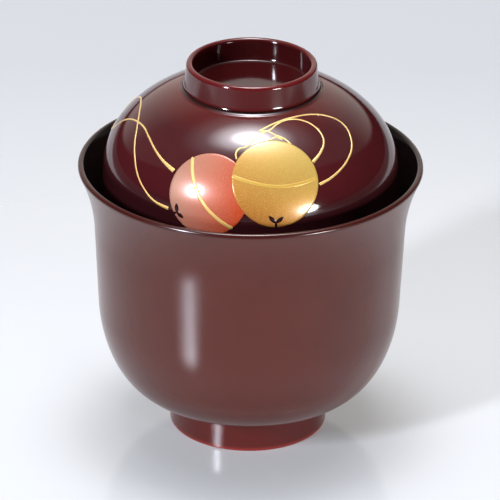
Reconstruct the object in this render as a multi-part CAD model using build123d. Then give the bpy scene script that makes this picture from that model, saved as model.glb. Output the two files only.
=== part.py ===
from build123d import *
import os
from math import acos, atan, atan2, cos, degrees, hypot, radians, sin, sqrt, tan

# A soup bowl and its lid, each turned in one piece about +Z, in millimetres.
# The bowl stands on its foot ring at z = 0, and the lid drops inside the flared mouth.

# Foot ring of the bowl
FOOT_RADIUS = 22.0
FOOT_TOP_RADIUS = 21.6
FOOT_HEIGHT = 9.95
FOOT_WALL = 2.6
FOOT_RECESS_DEPTH = 8.2
FOOT_EDGE_ROUNDING = 0.6
FOOT_RECESS_FILLET = 1.2
FOOT_NECK_FILLET = 0.6

# Belly and wall of the bowl, stacked upwards from the foot
BELLY_RISE = 1.2
HIP_HEIGHT = 28.4
WALL_HEIGHT = 20.05
FLARE_HEIGHT = 19.3
HIP_RADIUS = 42.06
HIP_DEPTH = 16.4
HIP_BELLY_ANGLE = 75.0
HIP_FLOOR_ANGLE = 84.0
WALL_TAPER = 2.58
FLARE_WIDTH = 4.5
WALL_THICKNESS = 1.9
FLOOR_THICKNESS = 3.0
LIP_THICKNESS = 1.8

# Seat of the lid on the inside of the flare
SEAT_DROP = 14.35
SEAT_CLEARANCE = 0.3

# Lid, stacked upwards from its edge
SKIRT_HEIGHT = 13.2
SKIRT_FLARE = 0.75
CROWN_HEIGHT = 26.7
LID_THICKNESS = 1.9
LID_EDGE_THICKNESS = 1.5
CROWN_THICKNESS = 2.6
CEILING_CAP_RADIUS = 6.0

# Knob ring of the lid
KNOB_RADIUS = 17.9
KNOB_BASE_RADIUS = 18.4
KNOB_WALL = 1.9
KNOB_HEIGHT = 7.1
KNOB_RECESS_DEPTH = 6.4
KNOB_RECESS_FILLET = 1.0
KNOB_NECK_FILLET = 1.7

# Heights and places that follow from the stack
HIP_TOP = FOOT_HEIGHT + BELLY_RISE + HIP_HEIGHT
WALL_TOP = HIP_TOP + WALL_HEIGHT
BOWL_HEIGHT = WALL_TOP + FLARE_HEIGHT
SEAT_HEIGHT = BOWL_HEIGHT - SEAT_DROP
CROWN_BASE = SEAT_HEIGHT + SKIRT_HEIGHT
HIP_CENTRE = Vector(HIP_RADIUS - HIP_DEPTH, HIP_TOP)

# Directions in the section plane: along the tapered wall, and square to it towards the outside
WALL_ALONG = Vector(sin(radians(WALL_TAPER)), cos(radians(WALL_TAPER)))
WALL_OUTWARD = Vector(WALL_ALONG.Y, -WALL_ALONG.X)


class WallSide:
    """One side of the bowl's wall: elliptical hip, tapered straight, then a flare tangent to the round lip.

    depth and height are the hip ellipse's half axes, and belly_angle says how far down it is followed.
    """

    def __init__(self, depth, height, belly_angle):
        leave = degrees(atan(height / depth * tan(radians(WALL_TAPER))))
        self.hip = EllipticalCenterArc(HIP_CENTRE, depth, height, -belly_angle, arc_size=belly_angle - leave)
        foot_of_wall = self.hip @ 1
        run = (WALL_TOP - foot_of_wall.Y) / WALL_ALONG.Y
        self.straight = Line(foot_of_wall, foot_of_wall + WALL_ALONG * run)
        self.top = self.straight @ 1

    def add_flare(self, lip_centre, lip_side):
        """Arc from the straight to the lip's circle, on its outer (1) or inner (-1) side."""
        lip_radius = LIP_THICKNESS / 2
        reach = self.top - lip_centre
        spare = lip_side * lip_radius - reach.dot(WALL_OUTWARD)
        self.flare_radius = (reach.length**2 - lip_radius**2) / (2 * spare)
        self.flare_centre = self.top + WALL_OUTWARD * self.flare_radius
        self.lip_inward = (lip_centre - self.flare_centre).normalized()
        self.lip_point = self.flare_centre + self.lip_inward * self.flare_radius
        self.flare = TangentArc(self.top, self.lip_point, tangent=WALL_ALONG)

    def radius_at(self, height):
        """Radius of this side at a height on the straight or the flare."""
        if height < self.top.Y:
            return self.top.X - (self.top.Y - height) * tan(radians(WALL_TAPER))
        rise = height - self.flare_centre.Y
        return self.flare_centre.X - sqrt(self.flare_radius**2 - rise**2)

    def edges(self):
        return [self.hip, self.straight, self.flare]


def crown_height_at(radius, half_width, half_height):
    """Height on a crown ellipse at a radius."""
    return CROWN_BASE + half_height * sqrt(1 - (radius / half_width) ** 2)


def tangent_angle(point, half_width, half_height):
    """Angle round a crown ellipse, above its widest point, where the line from an outside point touches it."""
    across = point.X / half_width
    up = (point.Y - CROWN_BASE) / half_height
    return atan2(up, across) + acos(1 / hypot(across, up))


def crown_side(edge_point, half_width, half_height, end_radius):
    """Straight skirt from the lid's edge, and the crown's arc from there in to a radius."""
    touch = degrees(tangent_angle(edge_point, half_width, half_height))
    end = degrees(acos(end_radius / half_width))
    arc = EllipticalCenterArc((0, CROWN_BASE), half_width, half_height, touch, arc_size=end - touch)
    return [Line(edge_point, arc @ 0), arc]


def level_cap(curve, end):
    """Arc from the axis, level there, that runs smoothly into the start (0) or end (1) of a curve."""
    rim = curve @ end
    slope = (curve % end).Y / (curve % end).X
    middle = Vector(0, rim.Y - rim.X * tan(atan(slope) / 2))
    return TangentArc(middle, rim, tangent=(1, 0))


def turned(edges):
    """Solid of revolution about +Z from the edges of a section, drawn with x as radius and y as height."""
    return revolve(Plane.XZ * make_face(edges), axis=Axis.Z)


def rounded_ring_top(outer_radius, thickness, top):
    """Half circle over the top of an upright ring, from its outer face to its inner face."""
    spring = top - thickness / 2
    middle = (outer_radius - thickness / 2, top)
    return ThreePointArc((outer_radius, spring), middle, (outer_radius - thickness, spring))


# Both sides of the bowl's wall, and the lip that joins them
outside = WallSide(HIP_DEPTH, HIP_HEIGHT, HIP_BELLY_ANGLE)
inside = WallSide(HIP_DEPTH - WALL_THICKNESS, HIP_HEIGHT - FLOOR_THICKNESS, HIP_FLOOR_ANGLE)
rim_radius = outside.top.X + FLARE_WIDTH
lip_centre = Vector(rim_radius - LIP_THICKNESS / 2, BOWL_HEIGHT - LIP_THICKNESS / 2)
outside.add_flare(lip_centre, 1)
inside.add_flare(lip_centre, -1)
lip_upward = Vector(outside.lip_inward.Y, -outside.lip_inward.X)
lip_top = lip_centre + lip_upward * (LIP_THICKNESS / 2)
lip = ThreePointArc(outside.lip_point, lip_top, inside.lip_point)

# Dished floor, level at the axis and tangent to the inner hip
floor = level_cap(inside.hip, 0)

# Underside of the belly, running in from the hip to the foot ring
foot_top = Vector(FOOT_TOP_RADIUS, FOOT_HEIGHT)
belly = TangentArc(outside.hip @ 0, foot_top, tangent=(outside.hip % 0) * -1)

# Foot ring and the hollow under the bowl
foot_inner_radius = FOOT_RADIUS - FOOT_WALL
recess_centre = Vector(0, FOOT_RECESS_DEPTH)
foot = FilletPolyline(
    foot_top,
    (FOOT_RADIUS, 0),
    (foot_inner_radius, 0),
    (foot_inner_radius, FOOT_RECESS_DEPTH),
    recess_centre,
    radius=[FOOT_EDGE_ROUNDING, FOOT_EDGE_ROUNDING, FOOT_RECESS_FILLET],
)
bowl_axis = Line(recess_centre, floor @ 0)

bowl = turned([floor, *inside.edges(), lip, *outside.edges(), belly, *foot.edges(), bowl_axis])
foot_neck = bowl.edges().filter_by(GeomType.CIRCLE).sort_by_distance((FOOT_TOP_RADIUS, 0, FOOT_HEIGHT))[0]
bowl = fillet(foot_neck, FOOT_NECK_FILLET)

# Lid edge: a half circle that clears the inside of the flare all round
edge_spring = SEAT_HEIGHT + LID_EDGE_THICKNESS / 2
lid_radius = inside.radius_at(edge_spring) - SEAT_CLEARANCE
edge_outer = Vector(lid_radius, edge_spring)
edge_inner = Vector(lid_radius - LID_EDGE_THICKNESS, edge_spring)
lid_edge = ThreePointArc(edge_outer, (lid_radius - LID_EDGE_THICKNESS / 2, SEAT_HEIGHT), edge_inner)

# Outer crown, from the edge in to the knob ring
crown_radius = lid_radius - SKIRT_FLARE
lid_outside = crown_side(edge_outer, crown_radius, CROWN_HEIGHT, KNOB_BASE_RADIUS)
knob_base = Vector(KNOB_BASE_RADIUS, crown_height_at(KNOB_BASE_RADIUS, crown_radius, CROWN_HEIGHT))

# Knob ring with a round top, open in the middle
knob_top = knob_base.Y + KNOB_HEIGHT
knob_rim = rounded_ring_top(KNOB_RADIUS, KNOB_WALL, knob_top)
knob_outer_wall = Line(knob_base, knob_rim @ 0)
recess_floor = Vector(0, knob_top - KNOB_RECESS_DEPTH)
knob_recess = FilletPolyline(
    knob_rim @ 1,
    (KNOB_RADIUS - KNOB_WALL, recess_floor.Y),
    recess_floor,
    radius=[KNOB_RECESS_FILLET],
)

# Inner crown, lower than the outer one so that the knob's floor has its thickness
ceiling_rise = recess_floor.Y - CROWN_THICKNESS - CROWN_BASE
lid_inside = crown_side(edge_inner, crown_radius - LID_THICKNESS, ceiling_rise, CEILING_CAP_RADIUS)
ceiling = level_cap(lid_inside[-1], 1)
lid_axis = Line(recess_floor, ceiling @ 0)

knob_edges = [knob_outer_wall, knob_rim, *knob_recess.edges()]
lid = turned([lid_edge, *lid_outside, *knob_edges, lid_axis, ceiling, *lid_inside])
knob_neck = lid.edges().filter_by(GeomType.CIRCLE).sort_by_distance((knob_base.X, 0, knob_base.Y))[0]
lid = fillet(knob_neck, KNOB_NECK_FILLET)

os.makedirs("parts", exist_ok=True)
for name, piece in {"bowl": bowl, "lid": lid}.items():
    export_step(piece, f"parts/{name}.step")
    box = piece.bounding_box()
    print(f"{name}: {box.size.X:.2f} x {box.size.Y:.2f} x {box.size.Z:.2f} mm, from z {box.min.Z:.2f}")
print(f"rim radius {rim_radius:.2f}, bowl height {BOWL_HEIGHT:.2f}")
print(f"lid radius {lid_radius:.2f} seated at z {SEAT_HEIGHT:.2f}, knob top at z {knob_top:.2f}")
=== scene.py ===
# %% [markdown]
# # A lacquered soup bowl with its lid
# The object is two pieces turned from wood and lacquered: a deep bowl on a foot ring, and a
# domed lid that drops inside the bowl's mouth. The lid carries two flat bells with looping
# cords, drawn in raised gold and red lacquer.
#
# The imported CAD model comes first. It is a fixed frame: everything made below sits where
# the CAD says, in metres, and only looks better than the solids it stands for.

# %% Load the frame
from math import acos, atan, atan2, cos, degrees, hypot, pi, radians, sin, sqrt, tan

import bmesh
import bpy
from mathutils import Matrix, Vector
from mathutils.bvhtree import BVHTree


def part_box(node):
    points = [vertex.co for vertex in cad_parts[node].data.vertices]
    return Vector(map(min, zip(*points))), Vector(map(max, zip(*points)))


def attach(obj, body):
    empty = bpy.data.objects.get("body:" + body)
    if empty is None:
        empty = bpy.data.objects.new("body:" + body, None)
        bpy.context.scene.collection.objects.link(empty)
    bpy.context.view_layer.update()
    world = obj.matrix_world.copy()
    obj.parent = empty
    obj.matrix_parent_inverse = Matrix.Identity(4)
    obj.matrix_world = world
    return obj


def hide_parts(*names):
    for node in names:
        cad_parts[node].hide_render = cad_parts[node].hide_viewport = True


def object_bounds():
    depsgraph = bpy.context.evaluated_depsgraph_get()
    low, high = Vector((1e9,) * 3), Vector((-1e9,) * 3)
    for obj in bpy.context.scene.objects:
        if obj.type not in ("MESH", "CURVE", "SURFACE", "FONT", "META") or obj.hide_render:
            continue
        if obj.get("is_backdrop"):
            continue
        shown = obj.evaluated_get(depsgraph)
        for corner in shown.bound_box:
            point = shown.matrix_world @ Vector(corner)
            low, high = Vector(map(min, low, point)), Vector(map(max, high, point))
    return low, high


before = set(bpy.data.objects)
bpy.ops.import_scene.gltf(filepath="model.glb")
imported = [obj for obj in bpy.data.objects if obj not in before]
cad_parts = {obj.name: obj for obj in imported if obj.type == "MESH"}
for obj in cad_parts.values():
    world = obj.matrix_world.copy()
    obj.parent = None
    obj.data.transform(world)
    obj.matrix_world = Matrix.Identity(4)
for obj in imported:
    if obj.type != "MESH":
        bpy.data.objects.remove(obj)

MM = 0.001
cad_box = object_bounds()

# %% [markdown]
# ## Colours and nodes
# Colours are written as sRGB hex values, the way a paint chart gives them. Shaders work in
# linear light, so one function converts them. Node trees take many lines if every node is
# made by hand, so a second function adds one node, gives it its settings, and sets or links
# its inputs. It serves shader trees and geometry trees alike.

# %% Helpers for colours and nodes
def linear(code):
    """Linear RGBA from an sRGB hex value such as #5a2423."""
    channels = [int(code[k:k + 2], 16) / 255 for k in (1, 3, 5)]
    return [c / 12.92 if c <= 0.04045 else ((c + 0.055) / 1.055) ** 2.4 for c in channels] + [1.0]


def add(tree, kind, feeds=(), **settings):
    """Adds a node with its settings.

    feeds gives an input, by name or place, a value, an output, or a node's first output.
    """
    node = tree.nodes.new(kind)
    for name, value in settings.items():
        setattr(node, name, value)
    for key, value in dict(feeds).items():
        socket = node.inputs[key] if isinstance(key, int) else next(
            s for s in node.inputs if s.enabled and s.name == key)
        if isinstance(value, bpy.types.Node):
            value = next(s for s in value.outputs if s.enabled)
        if isinstance(value, bpy.types.NodeSocket):
            tree.links.new(value, socket)
        else:
            socket.default_value = value
    return node


print("mid grey #808080 is", round(linear("#808080")[0], 3), "in linear light")

# %% [markdown]
# ## Starting a finish
# Every finish below starts as an empty node tree, and two kinds of node come up again and
# again: a mix of two colours, and a change of range that turns a height or a noise into a
# share. A colour ramp does both at once. It is kept for the board, which has many shades,
# because for two, two colours and two limits are easier to read.

# %% Helpers for finishes
def blend(tree, factor, start, end):
    """A mix of two colours, each a hex value or a node."""
    start, end = (linear(colour) if isinstance(colour, str) else colour for colour in (start, end))
    return add(tree, "ShaderNodeMix", {"Factor": factor, "A": start, "B": end}, data_type="RGBA")


def ramp(tree, value, start, end, low=0.0, high=1.0, **settings):
    """A value that runs from low to high while another one runs from start to end."""
    return add(tree, "ShaderNodeMapRange", {"Value": value, "From Min": start, "From Max": end,
                                            "To Min": low, "To Max": high}, **settings)


def new_finish(name):
    """A material with an empty tree, and its tree."""
    material = bpy.data.materials.new(name)
    material.use_nodes = True
    material.node_tree.nodes.clear()
    return material, material.node_tree


print("materials so far:", len(bpy.data.materials))

# %% [markdown]
# ## Translucent brown lacquer
# The outside is a red ground under a translucent brown lacquer. Where the brown coat is
# thick the eye sees a deep maroon; where it is thin, the red ground shows through. One way
# is a flat maroon with gloss. Here the colour drifts a little over the surface, as a brushed
# coat does, and then changes in rings with the height, or in a hollow with the distance from
# the axis. Some rings follow the coat, which on a turned piece is wiped round and round;
# others are painted light and shade.

# %% A brown lacquer
DRIFT, RUB, WAVE = 9 * MM, 2 * MM, 5 * MM


def brown_lacquer(name, thick, thin, roughness, ior, bands, hollow=None):
    """Translucent lacquer over a red ground.

    bands gives heights in mm where another tone starts and is full, and the tone. Some of
    the tones are painted light and shade. hollow does the same with distances from the
    axis; there it gives painted shade.
    """
    material, tree = new_finish(name)
    place = add(tree, "ShaderNodeTexCoord").outputs["Object"]
    # the thickness of a coat laid with a wide brush
    drift = add(tree, "ShaderNodeTexNoise", {"Vector": place, "Scale": 1 / DRIFT, "Detail": 3.0})
    colour = blend(tree, drift, thick, thin)
    height = add(tree, "ShaderNodeSeparateXYZ", {"Vector": place}).outputs["Z"]
    tones = [(height, *band) for band in bands]
    if hollow:
        flat = add(tree, "ShaderNodeVectorMath", {0: place, 1: (1, 1, 0)}, operation="MULTIPLY")
        from_axis = add(tree, "ShaderNodeVectorMath", {0: flat}, operation="LENGTH").outputs["Value"]
        tones.append((from_axis, *hollow))
    # each tone is a ring of the coat's own colour, and some are painted light and shade
    for measure, start, full, tone in tones:
        colour = blend(tree, ramp(tree, measure, start * MM, full * MM), colour, tone)
    # rubbing marks: patches a little duller or brighter than their neighbours
    rubbed = add(tree, "ShaderNodeTexNoise", {"Vector": place, "Scale": 1 / RUB, "Detail": 4.0})
    sheen = ramp(tree, rubbed, 0, 1, roughness * 0.85, roughness * 1.15)
    # the levelled coat still waves by a few thousandths of a millimetre
    wave = add(tree, "ShaderNodeTexNoise", {"Vector": place, "Scale": 1 / WAVE, "Detail": 1.0})
    level = add(tree, "ShaderNodeBump", {"Height": wave, "Distance": 0.012 * MM, "Strength": 1.0})
    skin = add(tree, "ShaderNodeBsdfPrincipled",
               {"Base Color": colour, "Roughness": sheen, "IOR": ior, "Normal": level})
    add(tree, "ShaderNodeOutputMaterial", {"Surface": skin})
    return material


print("the coat drifts over", round(DRIFT / MM), "mm; rubbing marks are", round(RUB / MM), "mm")

# %% [markdown]
# ## Satin bowl, glossy lid
# The bowl is rubbed to a satin sheen and the lid is left glossy, so the two lacquers differ
# in roughness. The coat is thin on the foot ring and up the knob's wall and rim, and beside
# the lip it is thickest and turns nearly black. On the crown towards the knob a redder tone
# is painted light of the box overhead. In the corner under the knob, in its hollow and down
# the lid's skirt, a nearly black tone is painted shade. Such bands could be painted by hand,
# but heights give clean rings, and those at lip and knob rim are measured from the CAD's
# boxes.

# %% Lacquers of bowl and lid
_, bowl_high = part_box("bowl")
lid_low, lid_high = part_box("lid")
BOWL_HEIGHT, RIM_RADIUS = bowl_high.z / MM, bowl_high.x / MM
SEAT_HEIGHT, KNOB_TOP, LID_RADIUS = lid_low.z / MM, lid_high.z / MM, lid_high.x / MM

# thin on the foot ring, thinnest at its base, thick beside the lip
BOWL_BANDS = [(10.8, 9.2, "#52150f"), (1.4, 0.3, "#8c2a22"),
              (BOWL_HEIGHT - 1.6, BOWL_HEIGHT - 0.7, "#38110c")]
# satin: a lamp spreads into a broad soft strip down the wall
satin_brown = brown_lacquer("satin_translucent_brown_lacquer", "#481a10", "#521f14",
                            roughness=0.2, ior=1.5, bands=BOWL_BANDS)
# painted shade down the skirt, painted light towards the knob, painted shade in its corner, and a thin coat
# up its wall and rim
LID_BANDS_AND_SHADE = [(83.5, 79.5, "#2a0d10"), (97.0, 101.0, "#4e1614"), (101.1, 101.5, "#1c0708"),
             (101.9, 102.2, "#4a1413"), (KNOB_TOP - 1.3, KNOB_TOP - 0.2, "#581113")]
# painted shade: the knob's hollow turns nearly black within 16 mm of the axis
KNOB_HOLLOW_SHADE = (16.6, 16.0, "#350c0d")
# gloss: lamps and the dark room are mirrored with clear edges
gloss_brown = brown_lacquer("gloss_translucent_brown_lacquer", "#3a1215", "#441518",
                            roughness=0.085, ior=1.58, bands=LID_BANDS_AND_SHADE, hollow=KNOB_HOLLOW_SHADE)
print("bowl", round(2 * RIM_RADIUS, 1), "mm across,", round(BOWL_HEIGHT, 1), "mm high; knob top at",
      round(KNOB_TOP, 1), "mm")

# %% [markdown]
# ## Black lacquer inside
# Bowl and lid are lined with black lacquer, polished so that food wipes off. Black lacquer
# is never quite black: it keeps a trace of warm brown, and its life is in its reflections,
# so a low base colour with low roughness does most of the work. A fine haze of polishing
# marks varies the roughness.

# %% Lacquer of the inside
# near black: what the eye sees is what it mirrors
polished_black, tree = new_finish("polished_black_lacquer")
place = add(tree, "ShaderNodeTexCoord").outputs["Object"]
haze = add(tree, "ShaderNodeTexNoise", {"Vector": place, "Scale": 1 / (3 * MM), "Detail": 5.0})
tone = blend(tree, haze, "#120d0c", "#1c1412")
polish = ramp(tree, haze, 0, 1, 0.07, 0.15)
skin = add(tree, "ShaderNodeBsdfPrincipled", {"Base Color": tone, "Roughness": polish, "IOR": 1.52})
add(tree, "ShaderNodeOutputMaterial", {"Surface": skin})
print("outside:", satin_brown.name, "and", gloss_brown.name, "| inside:", polished_black.name)

# %% [markdown]
# ## Drawing a section
# A turned piece is known by its section: the line that runs from the axis along the inside,
# over the edge, and back along the outside. The line is made of straight runs, arcs and
# parts of ellipses. Bezier handles would only come close to these, so two helpers work out
# their points: a part of an ellipse, and an arc that leaves a point in a given direction.

# %% Helpers for curved runs, in millimetres with x as radius and y as height
def bulge(centre, half_width, half_height, start, end, steps=48):
    """Points round an ellipse, between two angles in degrees."""
    angles = [radians(start + (end - start) * k / steps) for k in range(steps + 1)]
    return [centre + Vector((half_width * cos(a), half_height * sin(a))) for a in angles]


def sweep(start, along, end, steps=24):
    """Points of the arc that leaves start along a direction and arrives at end."""
    side = Vector((-along.y, along.x))
    chord = end - start
    turn = 2 * atan2(chord.dot(side), chord.dot(along))
    centre = start + side * (chord.length_squared / (2 * chord.dot(side)))
    arm = start - centre
    return [centre + Matrix.Rotation(turn * k / steps, 2) @ arm for k in range(steps + 1)]


quarter = sweep(Vector((1, 0)), Vector((0, 1)), Vector((0, 1)), steps=2)
print("halfway round a quarter turn:", [round(c, 3) for c in quarter[1]])

# %% [markdown]
# ## Closing and joining the runs
# A turned piece is closed in the middle by a shallow dish, level on the axis so that it has
# no point there. Where two runs meet in a corner, the turner takes the sharpness off, so the
# join rounds it by a radius. A bevel on the finished mesh could do that too, but in the
# section the rounding is a true arc.

# %% Helpers that close and join
def dished(rim, beyond, steps=24):
    """Points of the arc that is level on the axis and runs into a curve from rim to beyond."""
    slope = (beyond - rim).normalized()
    middle = Vector((0, rim.y - rim.x * tan(atan2(slope.y, slope.x) / 2)))
    return sweep(middle, Vector((1, 0)), rim, steps)


def joined(runs, roundings):
    """One line from runs that share their ends.

    Each shared corner is rounded by its radius, 0 where it is smooth already.
    """
    line = list(runs[0])
    for run, radius in zip(runs[1:], roundings):
        run = list(run)
        corner = run[0]
        if radius:
            back, ahead = (line[-2] - corner).normalized(), (run[1] - corner).normalized()
            trim = radius / tan(back.angle(ahead) / 2)
            while (line[-1] - corner).length < trim:
                line.pop()
            while (run[0] - corner).length < trim:
                run.pop(0)
            line += sweep(corner + back * trim, -back, corner + ahead * trim, steps=8)
        else:
            run.pop(0)
        line += run
    return line


elbow = joined([[Vector((0, 0)), Vector((5, 0))], [Vector((5, 0)), Vector((5, 5))]], [1.0])
print("a rounded corner between two straight runs has", len(elbow), "points")

# %% [markdown]
# ## The lathe
# Both pieces follow one rule, a section spun about the upright axis, so Geometry Nodes make
# them: a small circle carries the section round, and merging by distance closes the poles.
# The Spin tool or the Screw modifier could do the same. The tree was chosen because it also
# gives the lining its own lacquer, picked by the points of the section that lie inside.

# %% Node tree of the lathe
def sockets(tree, wanted):
    """Gives a geometry tree its inputs and output. Returns the inputs' sockets and identifiers."""
    made = {}
    for label, kind in wanted.items():
        socket = tree.interface.new_socket(label, in_out="INPUT", socket_type="NodeSocket" + kind)
        made[label] = socket.identifier
    tree.interface.new_socket("Geometry", in_out="OUTPUT", socket_type="NodeSocketGeometry")
    return add(tree, "NodeGroupInput").outputs, made


lathe = bpy.data.node_groups.new("turned_piece", "GeometryNodeTree")
given, lathe_inputs = sockets(lathe, {"Section": "Object", "Segments": "Int",
                                      "Last Inside Point": "Int", "Hub Radius": "Float",
                                      "Outside": "Material", "Inside": "Material"})
section = add(lathe, "GeometryNodeObjectInfo", {"Object": given["Section"]}).outputs["Geometry"]
lined = add(lathe, "FunctionNodeCompare", {"A": add(lathe, "GeometryNodeInputIndex"),
                                           "B": given["Last Inside Point"]},
            data_type="INT", operation="LESS_EQUAL")
marked = add(lathe, "GeometryNodeStoreNamedAttribute",
             {"Geometry": section, "Name": "lined", "Value": lined},
             data_type="BOOLEAN", domain="POINT")
hub = add(lathe, "GeometryNodeCurvePrimitiveCircle",
          {"Resolution": given["Segments"], "Radius": given["Hub Radius"]})
upright = add(lathe, "GeometryNodeSetCurveNormal", {"Curve": hub}, mode="Z_UP")
spun = add(lathe, "GeometryNodeCurveToMesh", {"Curve": upright, "Profile Curve": marked})
closed = add(lathe, "GeometryNodeMergeByDistance", {"Geometry": spun, "Distance": 0.001 * MM})
smooth = add(lathe, "GeometryNodeSetShadeSmooth", {"Geometry": closed})
real = add(lathe, "GeometryNodeRealizeInstances", {"Geometry": smooth})
coated = add(lathe, "GeometryNodeSetMaterial", {"Geometry": real, "Material": given["Outside"]})
inner = add(lathe, "GeometryNodeInputNamedAttribute", {"Name": "lined"}, data_type="BOOLEAN")
lining = add(lathe, "GeometryNodeSetMaterial",
             {"Geometry": coated, "Selection": inner, "Material": given["Inside"]})
add(lathe, "NodeGroupOutput", {"Geometry": lining})
print("lathe inputs:", list(lathe_inputs))

# %% [markdown]
# ## From tree to plain mesh
# A tree's result has to become a plain mesh, because the export keeps meshes only. The
# modifier goes on an empty host, its inputs are set by their identifiers, and the evaluated
# host is copied to a new mesh. A closed mesh has a positive volume when its faces point
# outwards, so the sign of the volume tells whether to turn them round.

# %% Helper that bakes a tree
def bake(name, tree, inputs, values):
    """An object with the plain mesh that a geometry tree makes, faces outwards."""
    host = bpy.data.objects.new(name, bpy.data.meshes.new(name + "_host"))
    bpy.context.collection.objects.link(host)
    modifier = host.modifiers.new("tree", "NODES")
    modifier.node_group = tree
    for label, value in values.items():
        modifier[inputs[label]] = value
    evaluated = host.evaluated_get(bpy.context.evaluated_depsgraph_get())
    mesh = bpy.data.meshes.new_from_object(evaluated)
    host.modifiers.remove(modifier)
    host.data = mesh
    mesh.name = name
    shape = bmesh.new()
    shape.from_mesh(mesh)
    if shape.calc_volume(signed=True) < 0:
        mesh.flip_normals()
    shape.free()
    return host


print("meshes before the first piece:", len(bpy.data.meshes))

# %% [markdown]
# ## From section to piece
# A section is a line of points, so it becomes a curve with straight steps; the cords drawn
# later are smooth Bezier curves from the same helper. A mesh of edges could hold a section
# too, but the lathe takes a curve as its profile. The circle that carries it round has a
# radius of its own, so the section is drawn that much closer to the axis.

# %% Helpers that draw a curve and turn a section
# points between two knots of a Bezier line
KNOT_STEPS = 16


def drawn(name, lines, kind="POLY"):
    """A curve object from lists of (point in metres, radius)."""
    curve = bpy.data.curves.new(name, "CURVE")
    curve.dimensions = "3D"
    for line in lines:
        spline = curve.splines.new(kind)
        points = spline.bezier_points if kind == "BEZIER" else spline.points
        points.add(len(line) - 1)
        for knot, (place, radius) in zip(points, line):
            knot.co = place if kind == "BEZIER" else (*place, 1)
            knot.radius = radius
            if kind == "BEZIER":
                knot.handle_left_type = knot.handle_right_type = "AUTO"
        spline.resolution_u = KNOT_STEPS
    thing = bpy.data.objects.new(name, curve)
    bpy.context.collection.objects.link(thing)
    return thing


HUB_RADIUS, SEGMENTS = 10 * MM, 256


def turned(name, line, last_inside, outside, inside):
    """A turned piece from its section line."""
    # the hub's normal points out and its side down, so heights go in with a minus
    flat = [(Vector((p.x * MM - HUB_RADIUS, -p.y * MM, 0)), 1.0) for p in line]
    section = drawn(name + "_section", [flat])
    piece = bake(name, lathe, lathe_inputs,
                 {"Section": section, "Segments": SEGMENTS, "Last Inside Point": last_inside,
                  "Hub Radius": HUB_RADIUS, "Outside": outside, "Inside": inside})
    bpy.data.objects.remove(section)
    heights = [v.co.z / MM for v in piece.data.vertices]
    print(name, len(piece.data.polygons), "faces, z", round(min(heights), 2), "to",
          round(max(heights), 2), "mm")
    return piece


print("the lathe spins", HUB_RADIUS / MM, "mm from the axis")

# %% [markdown]
# ## The bowl
# The bowl's wall is a hip in the form of an ellipse, a nearly straight wall that leans out
# by a few degrees, and a flare that runs smoothly into a full round lip. The inside repeats
# this, thinner by the wall. Each side is found the way a turner would: the hip ends where it
# points along the wall, and the flare's arc is the one that touches both wall and lip.

# %% Section of the bowl
LIP, WALL_TOP, LEAN = 1.8, 59.6, radians(2.58)
HIP_CENTRE = Vector((25.66, 39.55))
# half width and half height of the hip's ellipse, and the degrees below level where it starts
HIP_INSIDE, HIP_OUTSIDE = (14.5, 25.4, 84.0), (16.4, 28.4, 75.0)
FOOT_HEIGHT, FOOT_TOP_RADIUS, FOOT_RADIUS = 9.95, 21.6, 22.0
RECESS_RADIUS, RECESS_DEPTH = 19.4, 8.2
FOOT_ROUNDING, RECESS_ROUNDING = 0.6, 1.2
wall_along = Vector((sin(LEAN), cos(LEAN)))
wall_outward = Vector((wall_along.y, -wall_along.x))
lip_centre = Vector((RIM_RADIUS - LIP / 2, BOWL_HEIGHT - LIP / 2))


def wall_side(depth, height, belly_angle, lip_side):
    """Hip, straight wall and flare of one side, upwards. lip_side is 1 outside and -1 inside."""
    leave = degrees(atan(height / depth * tan(LEAN)))
    hip = bulge(HIP_CENTRE, depth, height, -belly_angle, -leave)
    top = hip[-1] + wall_along * ((WALL_TOP - hip[-1].y) / wall_along.y)
    reach = top - lip_centre
    spare = lip_side * LIP / 2 - reach.dot(wall_outward)
    flare_radius = (reach.length_squared - (LIP / 2) ** 2) / (2 * spare)
    flare_centre = top + wall_outward * flare_radius
    lip_point = flare_centre + (lip_centre - flare_centre).normalized() * flare_radius
    return hip, [hip[-1], top], sweep(top, wall_along, lip_point, steps=32)


hip_in, wall_in, flare_in = wall_side(*HIP_INSIDE, -1)
hip_out, wall_out, flare_out = wall_side(*HIP_OUTSIDE, 1)
across_in, across_out = flare_in[-1] - lip_centre, flare_out[-1] - lip_centre
lip = bulge(lip_centre, LIP / 2, LIP / 2, degrees(atan2(across_in.y, across_in.x)),
            degrees(atan2(across_out.y, across_out.x)), steps=20)
foot_top, foot_edge = Vector((FOOT_TOP_RADIUS, FOOT_HEIGHT)), Vector((FOOT_RADIUS, 0))
belly = sweep(hip_out[0], (hip_out[0] - hip_out[1]).normalized(), foot_top, steps=20)
foot_inner, recess_corner = Vector((RECESS_RADIUS, 0)), Vector((RECESS_RADIUS, RECESS_DEPTH))
recess_middle = Vector((0, RECESS_DEPTH))
wall_runs = [dished(hip_in[0], hip_in[1]), hip_in, wall_in, flare_in, lip,
             flare_out[::-1], wall_out[::-1], hip_out[::-1], belly]
foot_runs = [[foot_top, foot_edge], [foot_edge, foot_inner], [foot_inner, recess_corner],
             [recess_corner, recess_middle]]
roundings = [0] * (len(wall_runs) - 1) + [FOOT_ROUNDING] * 3 + [RECESS_ROUNDING]
bowl_line = joined(wall_runs + foot_runs, roundings)
lip_crest = max(range(len(bowl_line)), key=lambda k: bowl_line[k].y)
bowl_turned = turned("bowl_turned", bowl_line, lip_crest, satin_brown, polished_black)

# %% [markdown]
# ## The lid
# The lid's crown is an ellipse too, with a short skirt below it that goes down into the
# mouth, and a ring on top to lift it by. The skirt leaves the round edge and touches the
# crown's ellipse, so the outside has no crease until the ring. The inside is a flatter
# ellipse, closed in the middle by a shallow cap.

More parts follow.
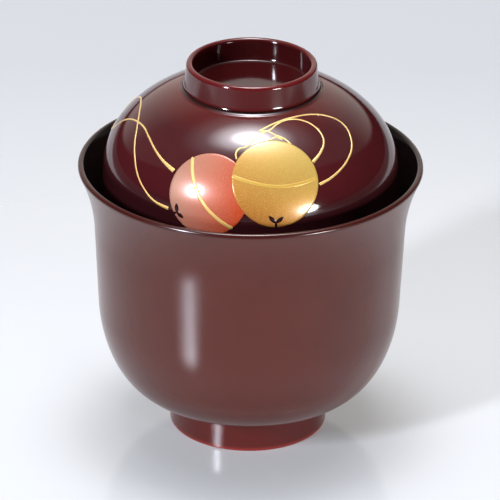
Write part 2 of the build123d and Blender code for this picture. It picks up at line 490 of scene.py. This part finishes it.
# %% Section of the lid
SKIRT_HEIGHT, SKIRT_FLARE, CROWN_RISE = 13.2, 0.75, 26.7
CROWN_BASE, CROWN_RADIUS = SEAT_HEIGHT + SKIRT_HEIGHT, LID_RADIUS - SKIRT_FLARE
EDGE, SHELL, CEILING, CAP_RADIUS = 1.5, 1.9, 2.6, 6.0
KNOB_RADIUS, KNOB_BASE_RADIUS, KNOB_WALL, HOLLOW_DEPTH = 17.9, 18.4, 1.9, 6.4
KNOB_ROUNDING, HOLLOW_ROUNDING = 1.7, 1.0
crown_centre = Vector((0, CROWN_BASE))


def crown_side(edge_point, half_width, half_height, end_radius):
    """Skirt from the lid's edge, and the crown's ellipse from where it is touched to a radius."""
    over, up = edge_point.x / half_width, (edge_point.y - CROWN_BASE) / half_height
    touch = degrees(atan2(up, over) + acos(1 / hypot(over, up)))
    end = degrees(acos(end_radius / half_width))
    arch = bulge(crown_centre, half_width, half_height, touch, end, steps=72)
    return [edge_point, arch[0]], arch


edge_centre = Vector((LID_RADIUS - EDGE / 2, SEAT_HEIGHT + EDGE / 2))
edge = bulge(edge_centre, EDGE / 2, EDGE / 2, 180, 360, steps=20)
skirt_out, crown_out = crown_side(edge[-1], CROWN_RADIUS, CROWN_RISE, KNOB_BASE_RADIUS)
hollow_height = KNOB_TOP - HOLLOW_DEPTH
skirt_in, crown_in = crown_side(edge[0], CROWN_RADIUS - SHELL,
                                hollow_height - CEILING - CROWN_BASE, CAP_RADIUS)
cap = dished(crown_in[-1], crown_in[-2], steps=8)
knob_centre = Vector((KNOB_RADIUS - KNOB_WALL / 2, KNOB_TOP - KNOB_WALL / 2))
knob_rim = bulge(knob_centre, KNOB_WALL / 2, KNOB_WALL / 2, 0, 180, steps=20)
knob_corner = Vector((KNOB_RADIUS - KNOB_WALL, hollow_height))
knob_middle = Vector((0, hollow_height))
shell_runs = [cap, crown_in[::-1], skirt_in[::-1], edge, skirt_out, crown_out]
knob_runs = [[crown_out[-1], knob_rim[0]], knob_rim, [knob_rim[-1], knob_corner],
             [knob_corner, knob_middle]]
roundings = [0] * (len(shell_runs) - 1) + [KNOB_ROUNDING, 0, 0, HOLLOW_ROUNDING]
lid_line = joined(shell_runs + knob_runs, roundings)
edge_foot = min(range(len(lid_line)), key=lambda k: lid_line[k].y)
lid_turned = turned("lid_turned", lid_line, edge_foot, gloss_brown, polished_black)

# %% [markdown]
# ## Sprinkled gold and red
# The bells are drawn in wet lacquer, sprinkled with metal powder and then polished. The eye
# sees a warm, almost matt metal with a fine grain under a clear glossy skin. A plain gold
# metal would turn dark wherever the room is dark, so the powder is mostly a coloured
# pigment: only partly metallic and quite rough. It lies inside the lacquer, so the sharp
# lights are left to a clear coat on top. Real powder is finer than a tenth of a millimetre.
# It is drawn coarser here so that its grain still shows from a step away.

# %% A powder lacquer
GRAIN = 0.25 * MM


def sprinkled(name, low, high, toward, span, metal, grain_colour):
    """Powder under clear lacquer.

    Its colour goes from low to high along a direction, over a span in mm.
    """
    material, tree = new_finish(name)
    place = add(tree, "ShaderNodeTexCoord").outputs["Object"]
    along = add(tree, "ShaderNodeVectorMath", {0: place, 1: toward}, operation="DOT_PRODUCT")
    climb = ramp(tree, along.outputs["Value"], span[0] * MM, span[1] * MM)
    ground = blend(tree, climb, low, high)
    grain = add(tree, "ShaderNodeTexNoise", {"Vector": place, "Scale": 1 / GRAIN, "Detail": 2.0})
    colour = blend(tree, ramp(tree, grain, 0.5, 0.8, high=0.3), ground, grain_colour)
    rough = ramp(tree, grain, 0, 1, 0.35, 0.55)
    tooth = add(tree, "ShaderNodeBump", {"Height": grain, "Distance": 0.01 * MM, "Strength": 0.5})
    skin = add(tree, "ShaderNodeBsdfPrincipled",
               {"Base Color": colour, "Metallic": metal, "Roughness": rough, "Normal": tooth,
                "Specular IOR Level": 0.1, "Coat Weight": 1.0, "Coat Roughness": 0.21,
                "Coat IOR": 1.52})
    add(tree, "ShaderNodeOutputMaterial", {"Surface": skin})
    return material


print("grains are drawn", round(GRAIN / MM, 2), "mm across")

# %% [markdown]
# ## Four powders and a dark lacquer
# The red is sprinkled thinner towards the left, where it goes pale, and that paleness is also
# a painted glow round the left lamp's highlight. The gold bell is paler towards the top and
# the right and darker below, as painted light and shade. The cords are a brighter gold than
# the bell, and the band across the gold bell is a duller one. The bells' slits are drawn in
# plain dark lacquer. One gold for all would be simpler, but then the lines would be lost on
# the bell.

# %% Lacquers of the drawing
# warm, reddish gold, paler towards the top and the right and darker below: painted light and shade of the
# box overhead and the right lamp
gold_powder = sprinkled("sprinkled_gold_lacquer", "#a5641f", "#b99b4e", toward=(0.5, 0, 1),
                        span=(80, 102), metal=0.25, grain_colour="#f0d890")
# orange red that goes pale towards the left: thinner powder, and a painted glow round the left lamp's
# highlight
red_powder = sprinkled("sprinkled_vermilion_lacquer", "#b03c18", "#a47c68", toward=(-0.93, 0, 0.36),
                       span=(32, 52), metal=0.15, grain_colour="#d89870")
# bright gold: the cords catch the light wherever they run
gold_relief = sprinkled("raised_gold_lacquer", "#d8ac5c", "#e6c47c", toward=(0, 0, 1),
                        span=(76, 100), metal=0.4, grain_colour="#f8e8b8")
# duller gold: a band that shows on the gold bell without shining out
old_gold = sprinkled("raised_old_gold_lacquer", "#bd9740", "#c59f48", toward=(0, 0, 1),
                     span=(76, 100), metal=0.3, grain_colour="#e8cc84")
# dark and glossy: the slits look open
dark_slit, tree = new_finish("dark_brown_drawing_lacquer")
place = add(tree, "ShaderNodeTexCoord").outputs["Object"]
depth = add(tree, "ShaderNodeTexNoise", {"Vector": place, "Scale": 1 / (1 * MM), "Detail": 2.0})
tone = blend(tree, depth, "#1e0a0c", "#2a1012")
skin = add(tree, "ShaderNodeBsdfPrincipled", {"Base Color": tone, "Roughness": 0.15, "IOR": 1.45})
add(tree, "ShaderNodeOutputMaterial", {"Surface": skin})
print("drawn in", gold_powder.name, red_powder.name, gold_relief.name, old_gold.name, dark_slit.name)

# %% [markdown]
# ## Places on the crown
# The drawing lies on a dome, so a place on it is given the way a map does it: an azimuth,
# measured from the front and positive to the right, and a height. A ray cast towards the
# axis finds the point on the lid's mesh. The same casting, along the surface's own normal,
# later drapes flat figures over the dome.

# %% Casting onto a surface
def skin_of(piece):
    """A search tree over a piece's faces."""
    mesh = piece.data
    return BVHTree.FromPolygons([v.co for v in mesh.vertices], [p.vertices for p in mesh.polygons])


lid_skin = skin_of(lid_turned)
# rays towards the axis start this far from it, outside the lid
OUTSIDE = 60 * MM


def landed(start, inward, *skins):
    """Point and outward normal where a ray meets the first skin that it hits, or else the lid."""
    hits = [skin.ray_cast(start, inward) for skin in (*skins, lid_skin)]
    return next(hit[:2] for hit in hits if hit[0])


def on_lid(azimuth, height, *skins):
    """Point and outward normal at an azimuth in degrees and a height in mm."""
    outward = Vector((sin(radians(azimuth)), -cos(radians(azimuth)), 0))
    return landed(outward * OUTSIDE + Vector((0, 0, height * MM)), -outward, *skins)


print("front of the crown at 90 mm:", [round(c / MM, 2) for c in on_lid(0, 90)[0]])

# %% [markdown]
# ## Raised patches
# Each bell is a thin patch of lacquer: it follows the dome, stands a few tenths of a
# millimetre proud, and rounds off at its edge. A displaced or bumped area of the lid could
# suggest that, but only real thickness gives the bright line of light along the rim. A patch
# is a grid of points on the dome, raised on top and sunk a little below, welded at the edge.

# %% Helpers for patches
SUNK = 0.08 * MM


def patch(shape, rows, round_trip):
    """Adds a closed lens to a bmesh from rows of (point, normal, lift), the border's lift -SUNK."""
    layers = [[[shape.verts.new(p + n * (lift if top else -SUNK)) for p, n, lift in row]
               for row in rows] for top in (True, False)]
    wide = len(rows[0])
    for top, grid in zip((True, False), layers):
        for a, b in zip(grid, grid[1:]):
            for k in range(wide if round_trip else wide - 1):
                face = [a[k], a[(k + 1) % wide], b[(k + 1) % wide], b[k]]
                shape.faces.new(face if top else face[::-1])


def patched(name, shape, material):
    """A finished piece from a bmesh of patches, its borders welded and its faces outwards."""
    bmesh.ops.remove_doubles(shape, verts=shape.verts, dist=0.0005 * MM)
    bmesh.ops.recalc_face_normals(shape, faces=shape.faces)
    for face in shape.faces:
        face.smooth = True
    mesh = bpy.data.meshes.new(name)
    shape.to_mesh(mesh)
    shape.free()
    mesh.materials.append(material)
    piece = bpy.data.objects.new(name, mesh)
    bpy.context.collection.objects.link(piece)
    return piece


print("a patch reaches", round(SUNK / MM, 2), "mm below the surface")

# %% [markdown]
# ## The two bells
# The bells are round and a little raised, the gold one more than the red one that it
# overlaps. A disc could be shrink-wrapped onto the dome, but rings of points that lie closer
# towards the edge catch its rounding better. Each point is cast down along the normal in the
# bell's middle, so the outline is a circle when it is looked at from there.

# %% Bells
RINGS, SPOKES, CAST_FROM = 24, 144, 10 * MM


def bell(name, azimuth, height, radius, raised, material, rounding=0.5):
    """A round bell draped over the crown, sizes in mm."""
    centre, outward = on_lid(azimuth, height)
    across = Vector((0, 0, 1)).cross(outward).normalized()
    upward = outward.cross(across)
    rows = []
    for ring in range(RINGS + 1):
        out = radius * sin(pi / 2 * ring / RINGS)
        fall = max(0.0, (out - radius + rounding) / rounding)
        lift = raised * MM * sqrt(1 - fall**2) - (SUNK if ring == RINGS else 0)
        row = []
        for spoke in range(SPOKES):
            turn = 2 * pi * spoke / SPOKES
            aside = across * cos(turn) + upward * sin(turn)
            start = centre + aside * out * MM + outward * CAST_FROM
            row.append((*landed(start, -outward), lift))
        rows.append(row)
    shape = bmesh.new()
    patch(shape, rows, True)
    return patched(name, shape, material)


red_bell = bell("red_bell", azimuth=-17.2, height=86.05, radius=11.0, raised=0.2,
                material=red_powder)
gold_bell = bell("gold_bell", azimuth=10.7, height=89.51, radius=11.75, raised=0.32,
                 material=gold_powder)
print("bells have", len(red_bell.data.polygons), "and", len(gold_bell.data.polygons), "faces")

# %% [markdown]
# ## Raised lines
# The cords and the bands across the bells are lines of raised lacquer that follow the
# surface and swell towards their ends, like a brush stroke. A second tree makes them: it
# settles a curve onto the surface, turns the curve's normal to stand on it, and sweeps a
# flat oval along it, scaled by the radius at each point of the curve.

# %% Node tree of a raised line
SPACING, OVAL_SIDES = 0.25 * MM, 12
stroke = bpy.data.node_groups.new("raised_line", "GeometryNodeTree")
given, stroke_inputs = sockets(stroke, {"Path": "Object", "Surface": "Object", "Half Width": "Float",
                                        "Raise": "Float", "Finish": "Material"})
path = add(stroke, "GeometryNodeObjectInfo", {"Object": given["Path"]}).outputs["Geometry"]
under = add(stroke, "GeometryNodeObjectInfo", {"Object": given["Surface"]}).outputs["Geometry"]
spaced = add(stroke, "GeometryNodeResampleCurve", {"Curve": path, "Length": SPACING}, mode="LENGTH")
here = add(stroke, "GeometryNodeInputPosition")
# place and normal of the surface, taken at its point nearest to the line
foot, stand = (add(stroke, "GeometryNodeSampleNearestSurface",
                   {"Mesh": under, "Value": field, "Sample Position": here}, data_type="FLOAT_VECTOR")
               for field in (here, add(stroke, "GeometryNodeInputNormal")))
settled = add(stroke, "GeometryNodeSetPosition", {"Geometry": spaced, "Position": foot})
standing = add(stroke, "GeometryNodeSetCurveNormal", {"Curve": settled, "Normal": stand}, mode="FREE")
oval = add(stroke, "GeometryNodeCurvePrimitiveCircle", {"Resolution": OVAL_SIDES, "Radius": 1.0})
flat = add(stroke, "ShaderNodeCombineXYZ", {"X": given["Raise"], "Y": given["Half Width"], "Z": 1.0})
brush = add(stroke, "GeometryNodeTransform", {"Geometry": oval, "Scale": flat})
swell = add(stroke, "GeometryNodeInputRadius")
swept = add(stroke, "GeometryNodeCurveToMesh",
            {"Curve": standing, "Profile Curve": brush, "Scale": swell, "Fill Caps": True})
smooth = add(stroke, "GeometryNodeSetShadeSmooth", {"Geometry": swept})
real = add(stroke, "GeometryNodeRealizeInstances", {"Geometry": smooth})
finished = add(stroke, "GeometryNodeSetMaterial", {"Geometry": real, "Material": given["Finish"]})
add(stroke, "NodeGroupOutput", {"Geometry": finished})
print("line inputs:", list(stroke_inputs))

# %% [markdown]
# ## From places to lines
# A line is given by places on the crown and by how much the brush swells at each. The places
# are lifted off the lid a little before the tree settles the line, so that the nearest
# surface is the outside and not the lining. The points could be placed by hand in the
# viewport, but azimuths and heights can be measured in the photograph.

# %% Helpers that draw raised lines
def above(azimuth, height):
    """A place 1 mm off the lid, from which a line settles onto the outside of what lies below."""
    point, outward = on_lid(azimuth, height)
    return point + outward * MM


def stroked(name, lines, surface, half_width, raised, finish):
    """A piece of raised lines. Each line is a list of (azimuth, height, swelling)."""
    knots = [[(above(azimuth, height), swell) for azimuth, height, swell in line] for line in lines]
    path = drawn(name + "_path", knots, "BEZIER")
    piece = bake(name, stroke, stroke_inputs,
                 {"Path": path, "Surface": surface, "Half Width": half_width * MM,
                  "Raise": raised * MM, "Finish": finish})
    bpy.data.objects.remove(path)
    print(name, len(piece.data.polygons), "faces")
    return piece


print("above the front of the crown:", [round(c / MM, 2) for c in above(0, 90)], "mm")

# %% [markdown]
# ## Cords and bands
# One cord leaves the bells to the left, makes a loop over the shoulder of the lid and comes
# back. Two nested loops go to the right, and short ends cross in a small bow under the knob.
# Each line is a handful of places on the crown; automatic Bezier handles make it flow. A
# wider band crosses each bell.

# %% Lines of the drawing
left_loop = [(-32.8, 80.31, 2.0), (-39.9, 81.12, 1.2), (-46.1, 83.19, 1), (-51.4, 85.57, 1),
             (-57.3, 88.60, 1), (-62.6, 90.85, 1), (-71.0, 93.60, 1), (-80.6, 95.09, 1),
             (-94.3, 95.53, 1), (-103.5, 94.6, 1), (-109.5, 91.6, 1), (-109.0, 87.8, 1),
             (-103.5, 85.5, 1), (-97.0, 86.0, 1), (-91.6, 88.64, 1), (-88.3, 91.10, 1),
             (-83.4, 92.89, 1), (-75.3, 94.16, 1), (-66.7, 94.50, 1), (-56.9, 93.60, 1),
             (-49.2, 92.31, 1.1), (-41.9, 90.92, 1.5), (-34.3, 89.57, 2.4)]
outer_loop = [(5.3, 99.07, 1), (18.9, 100.17, 1), (33.8, 100.43, 1), (47.8, 99.97, 1),
              (56.1, 98.93, 1), (59.9, 97.64, 1), (60.2, 96.05, 1), (57.2, 94.14, 1),
              (53.6, 92.57, 1), (48.2, 91.00, 1), (41.9, 89.51, 1), (35.1, 88.24, 1.3),
              (29.2, 87.44, 1.6)]
inner_loop = [(5.4, 98.67, 1), (10.9, 99.00, 1), (18.4, 99.92, 1), (27.2, 100.25, 1),
              (35.9, 99.76, 1), (40.9, 98.53, 1), (41.9, 97.04, 1), (40.3, 95.58, 1),
              (36.1, 94.11, 1.3), (29.5, 92.41, 1.8)]
bow_tail = [(5.8, 98.88, 1), (8.6, 99.04, 1), (14.5, 98.27, 1), (19.3, 97.44, 1), (21.8, 96.38, 1)]
bow_arch = [(10.8, 97.48, 1), (14.2, 97.89, 1), (17.8, 97.39, 1)]
bow_left = [(-6.8, 94.10, 1), (-7.4, 95.19, 1), (-6.2, 95.97, 1), (-2.6, 96.44, 1), (2.2, 97.77, 1)]
cords = [left_loop, outer_loop, inner_loop, bow_tail, bow_arch, bow_left]
gold_band = [(-9.1, 90.70, 1), (0.5, 89.32, 1), (10.3, 88.32, 1), (19.7, 88.33, 1), (28.9, 88.99, 1)]
red_band = [(-28.2, 93.50, 1), (-24.6, 89.33, 1), (-19.1, 84.26, 1), (-12.7, 80.23, 1),
            (-5.9, 77.34, 1)]
gold_loops = stroked("gold_loops", cords, lid_turned, half_width=0.25, raised=0.12,
                     finish=gold_relief)
gold_seam = stroked("gold_bell_seam", [gold_band], gold_bell, half_width=0.5, raised=0.08,
                    finish=old_gold)
red_seam = stroked("red_bell_seam", [red_band], red_bell, half_width=0.5, raised=0.12,
                   finish=gold_relief)

# %% [markdown]
# ## Slits of the bells
# A bell's mouth is a slit that forks into two pointed leaves. They are drawn in dark lacquer
# on top of the powder, so each leaf is one more patch, draped over its bell: widest in the
# middle and drawn to a point at both ends.

# %% Slits
LEAF_STEPS, LEAF_COLUMNS, LEAF_RAISE = 16, 3, 0.04 * MM


def leaf(shape, skin, start, end, width):
    """Adds one pointed leaf between two places on a bell, width in mm."""
    (tip, _), (root, _) = on_lid(*start, skin), on_lid(*end, skin)
    _, outward = on_lid((start[0] + end[0]) / 2, (start[1] + end[1]) / 2, skin)
    side = outward.cross(root - tip).normalized()
    rows = []
    for step in range(LEAF_STEPS + 1):
        along = tip.lerp(root, step / LEAF_STEPS)
        pointed = step in (0, LEAF_STEPS)
        half = 0 if pointed else width / 2 * MM * sin(pi * step / LEAF_STEPS) ** 0.8
        row = []
        for column in range(-LEAF_COLUMNS, LEAF_COLUMNS + 1):
            place = along + side * half * column / LEAF_COLUMNS + outward * 5 * MM
            border = pointed or abs(column) == LEAF_COLUMNS
            row.append((*landed(place, -outward, skin), -SUNK if border else LEAF_RAISE))
        rows.append(row)
    patch(shape, rows, False)


def slit(name, bell_piece, leaves):
    """A bell's dark slit from leaves of (start, end, width)."""
    shape = bmesh.new()
    for start, end, width in leaves:
        leaf(shape, skin_of(bell_piece), start, end, width)
    return patched(name, shape, dark_slit)


gold_slit = slit("gold_bell_slit", gold_bell,
                 [((7.0, 81.4), (10.0, 79.1), 1.5), ((12.8, 81.0), (9.6, 79.2), 1.5),
                  ((9.8, 79.9), (9.8, 77.4), 0.9)])
red_slit = slit("red_bell_slit", red_bell,
                [((-29.4, 82.5), (-28.6, 79.7), 1.5), ((-25.8, 78.8), (-29.0, 80.0), 1.5),
                 ((-28.6, 80.2), (-31.2, 78.9), 0.9)])
print("slits have", len(gold_slit.data.polygons), "and", len(red_slit.data.polygons), "faces")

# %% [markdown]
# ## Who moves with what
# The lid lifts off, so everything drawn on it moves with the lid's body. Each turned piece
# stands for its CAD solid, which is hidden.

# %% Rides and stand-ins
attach(bowl_turned, "bowl")
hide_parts("bowl")
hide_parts("lid")
for piece in (lid_turned, red_bell, gold_bell, gold_loops, gold_seam, red_seam, gold_slit, red_slit):
    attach(piece, "lid")

# %% [markdown]
# ## Floor
# The bowl stands on a pale, glossy board that turns grey and matt towards the front and the
# sides. Its gloss matters: the bare board mirrors the left lamp, and that is the soft strip
# of light down the bowl's wall. The grey is painted shade: the board is darkened where a
# dark room stands in front and to the sides, because the lid's flanks mirror it there, and a
# little behind the bowl, where the light falls off. The board also shines a little by itself,
# for the eye and in mirrors only, so it is pale while no more light than that of the lamps
# and the room falls on the bowl.

# %% Finish of the board
# pale and plain, with the gloss of a hard sheet
board, tree = new_finish("pale_laminate")
place = add(tree, "ShaderNodeTexCoord").outputs["Object"]
spot = add(tree, "ShaderNodeSeparateXYZ", {"Vector": place}).outputs
# the pale part is 0.6 m wide and widens to the front: past its sides, 1 cm aside counts as
# 4 cm to the front
beside = add(tree, "ShaderNodeMath", {0: spot["X"]}, operation="ABSOLUTE")
ahead = add(tree, "ShaderNodeMath", {0: spot["Y"], 1: 0.0}, operation="MINIMUM")
flank = add(tree, "ShaderNodeMath", {0: ahead, 1: 0.55, 2: beside}, operation="MULTIPLY_ADD")
aside = ramp(tree, flank, 0.3, 2.3, high=8.0)
depth = add(tree, "ShaderNodeMath", {0: spot["Y"], 1: aside}, operation="SUBTRACT")
# the painted fade of shade wanders by some millimetres, in patches 30 mm across
fade_noise = add(tree, "ShaderNodeTexNoise", {"Vector": place, "Scale": 1 / (30 * MM), "Detail": 2.0})
wander = add(tree, "ShaderNodeMath", {0: fade_noise, 1: 8 * MM, 2: depth}, operation="MULTIPLY_ADD")
# the board's tone, painted shade that darkens it away from the bowl, by its metres in front of the bowl
# (minus) or behind it
FRONT, BACK = -0.9, 0.3
tone = add(tree, "ShaderNodeValToRGB", {"Fac": ramp(tree, wander, FRONT, BACK)})
shades = [(-0.7, "#1e1e20"), (-0.3, "#505153"), (-0.222, "#6a6b6d"), (-0.15, "#a6a9ab"),
          (-0.078, "#acafb1"), (-0.042, "#b5b8ba"), (0.06, "#b5b8ba"), (0.252, "#9fa2a4")]
stops = tone.color_ramp.elements
for count, (metres, shade) in enumerate(shades):
    share = (metres - FRONT) / (BACK - FRONT)
    # a new ramp has two stops already
    stop = stops[count] if count < 2 else stops.new(share)
    stop.position, stop.color = share, linear(shade)
# the board is glossy near the bowl, and dull from 0.3 m on
GLOSSY, MATT = 0.12, 0.75
reach = add(tree, "ShaderNodeVectorMath", {0: place}, operation="LENGTH").outputs["Value"]
dull = ramp(tree, reach, 0.11, 0.3, GLOSSY, MATT)
# the shine is seen and mirrored, but it lights nothing
SHINE = 0.36
ray = add(tree, "ShaderNodeLightPath").outputs
mirrored = add(tree, "ShaderNodeMath", {0: ray["Is Glossy Ray"], 1: ray["Is Transmission Ray"]},
               operation="MAXIMUM")
seen = add(tree, "ShaderNodeMath", {0: ray["Is Camera Ray"], 1: mirrored}, operation="MAXIMUM")
shine = add(tree, "ShaderNodeMath", {0: seen, 1: SHINE}, operation="MULTIPLY")
skin = add(tree, "ShaderNodeBsdfPrincipled",
           {"Base Color": tone, "Roughness": dull, "IOR": 1.5, "Specular IOR Level": 0.8,
            "Emission Color": tone, "Emission Strength": shine})
add(tree, "ShaderNodeOutputMaterial", {"Surface": skin})
print("the board fades through", len(stops), "shades")

# %% [markdown]
# ## The board itself
# One flat face is enough for the board. It could be a box, but its edges lie metres away
# from the bowl. It is staged, because it belongs to the picture and not to the object.

# %% Board
shape = bmesh.new()
corners = ((-4, -3, 0), (4, -3, 0), (4, 4, 0), (-4, 4, 0))
shape.faces.new([shape.verts.new(corner) for corner in corners])
floor = bpy.data.objects.new("floor", bpy.data.meshes.new("floor"))
shape.to_mesh(floor.data)
shape.free()
floor.data.materials.append(board)
bpy.context.collection.objects.link(floor)
floor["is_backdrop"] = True
print("floor", [round(d, 2) for d in floor.dimensions], "m")

# %% [markdown]
# ## Studio
# Gloss shows where the lights stood, and in between it mirrors the room. The room is a
# picture in the world shader: a warm, pale screen behind the object, dark sides and front,
# and a cool box of light overhead that makes the long glow on the crown. More lamps could do
# it, but a picture fades softly at no cost.

# %% Room
world = bpy.data.worlds.new("studio")
bpy.context.scene.world = world
world.use_nodes = True
tree = world.node_tree
tree.nodes.clear()
facing = add(tree, "ShaderNodeTexCoord").outputs["Generated"]
# a pale screen rises behind the object, brightest at the back and cut off by dark sides and front
back = add(tree, "ShaderNodeSeparateXYZ", {"Vector": facing}).outputs["Y"]
paper = ramp(tree, back, 0.5, 0.97, 0.19, 0.95)
SCREEN_AXIS = (-0.075, 0.47, 0.879)
cone = add(tree, "ShaderNodeVectorMath", {0: facing, 1: SCREEN_AXIS}, operation="DOT_PRODUCT")
opening = ramp(tree, cone.outputs["Value"], 0.47, 0.52, interpolation_type="SMOOTHSTEP")
screen = add(tree, "ShaderNodeMath", {0: paper, 1: opening}, operation="MULTIPLY")
# the overhead box of light: an oval, bright in the middle, that fades out through its cloth
BOX_MIDDLE, BOX_WIDTH, BOX_DEPTH = (0, 0.1, 0), 0.2, 0.14
off_middle = add(tree, "ShaderNodeVectorMath", {0: facing, 1: BOX_MIDDLE}, operation="SUBTRACT")
oval = add(tree, "ShaderNodeVectorMath", {0: off_middle, 1: (1 / BOX_WIDTH, 1 / BOX_DEPTH, 0)},
           operation="MULTIPLY")
ring = add(tree, "ShaderNodeVectorMath", {0: oval}, operation="LENGTH").outputs["Value"]
# where each layer of it starts and is full, and how bright it is then
CLOTH, CORE, GLOW = (2.0, 0.5, 12.0), (1.0, 0.2, 28.0), (3.2, 1.2, 1.4)
cloth, core, glow = (ramp(tree, ring, start, full, high=strength, interpolation_type="SMOOTHSTEP")
                     for start, full, strength in (CLOTH, CORE, GLOW))
soft = add(tree, "ShaderNodeMath", {0: cloth, 1: glow}, operation="ADD")
box = add(tree, "ShaderNodeMath", {0: soft, 1: core}, operation="ADD")
warm = add(tree, "ShaderNodeBackground", {"Color": linear("#fff6ee"), "Strength": screen})
cool = add(tree, "ShaderNodeBackground", {"Color": linear("#f6f6fc"), "Strength": box})
room = add(tree, "ShaderNodeAddShader", {0: warm, 1: cool})
add(tree, "ShaderNodeOutputWorld", {"Surface": room})
print("the room is painted with", len(tree.nodes), "nodes")

# %% [markdown]
# ## Two lamps
# The spot on the red bell mirrors a tall lamp in front on the left, and the spot on the gold
# bell a weaker, low one on the right. Bright ovals in the room's picture could stand for
# them, but area lamps give the same light with less noise, so each is a lamp, placed by its
# direction from the lid.

# %% Lamps
LID_MIDDLE = Vector((0, 0, 0.085))


def lamp(name, azimuth, elevation, distance, width, height, watts, tint):
    """An oval area lamp that faces the lid, at degrees from the front and above the horizon."""
    light = bpy.data.lights.new(name, "AREA")
    light.shape, light.size, light.size_y = "ELLIPSE", width, height
    light.energy, light.color = watts, linear(tint)[:3]
    turn, climb = radians(azimuth), radians(elevation)
    away = Vector((sin(turn) * cos(climb), -cos(turn) * cos(climb), sin(climb)))
    thing = bpy.data.objects.new(name, light)
    thing.location = LID_MIDDLE + away * distance
    thing.rotation_mode = "QUATERNION"
    thing.rotation_quaternion = away.to_track_quat("Z", "Y")
    # seen from behind the object, a lamp would stand in the picture
    thing.visible_camera = False
    bpy.context.collection.objects.link(thing)


lamp("left_lamp", azimuth=-45.5, elevation=25, distance=2.0, width=0.2, height=0.52,
     watts=48, tint="#eef2ff")
lamp("right_lamp", azimuth=43.5, elevation=0.5, distance=1.0, width=0.26, height=0.18,
     watts=7.5, tint="#ffffff")

# %% [markdown]
# ## Camera
# The photograph was taken with a long lens from about 26 degrees above, turned by two
# thirds of a degree about its own axis. These numbers come from the circles of rim, knob and
# foot: how flat their ellipses are gives the angle, and how that changes with height the
# distance.

# %% Camera
LENS, SENSOR_WIDTH = 307.7, 36.0
TILT, ROLL = radians(25.8), radians(0.66)
AIM, DISTANCE = Vector((0.0001, 0, 0.05178)), 1.1875
camera_data = bpy.data.cameras.new("photo_camera")
camera_data.lens, camera_data.sensor_width = LENS, SENSOR_WIDTH
camera_data.clip_start, camera_data.clip_end = 0.05, 20.0
camera = bpy.data.objects.new("photo_camera", camera_data)
eye = AIM + Vector((0, -cos(TILT), sin(TILT))) * DISTANCE
camera.matrix_world = (Matrix.Translation(eye) @ Matrix.Rotation(pi / 2 - TILT, 4, "X")
                       @ Matrix.Rotation(ROLL, 4, "Z"))
bpy.context.collection.objects.link(camera)
bpy.context.scene.camera = camera
bpy.context.scene.view_settings.view_transform = "Standard"
print("camera at", [round(c, 3) for c in camera.location])

# %% [markdown]
# ## Sizes
# The looks must not change the object's size, so the CAD's box and the dressed model's box
# are printed one after the other.

# %% Measure and finish
bpy.context.view_layer.update()
boxes = {"cad": [list(corner) for corner in cad_box], "visual": [list(corner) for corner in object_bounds()]}
for label, (low, high) in boxes.items():
    print(label, [round((b - a) / MM, 2) for a, b in zip(low, high)], "mm")
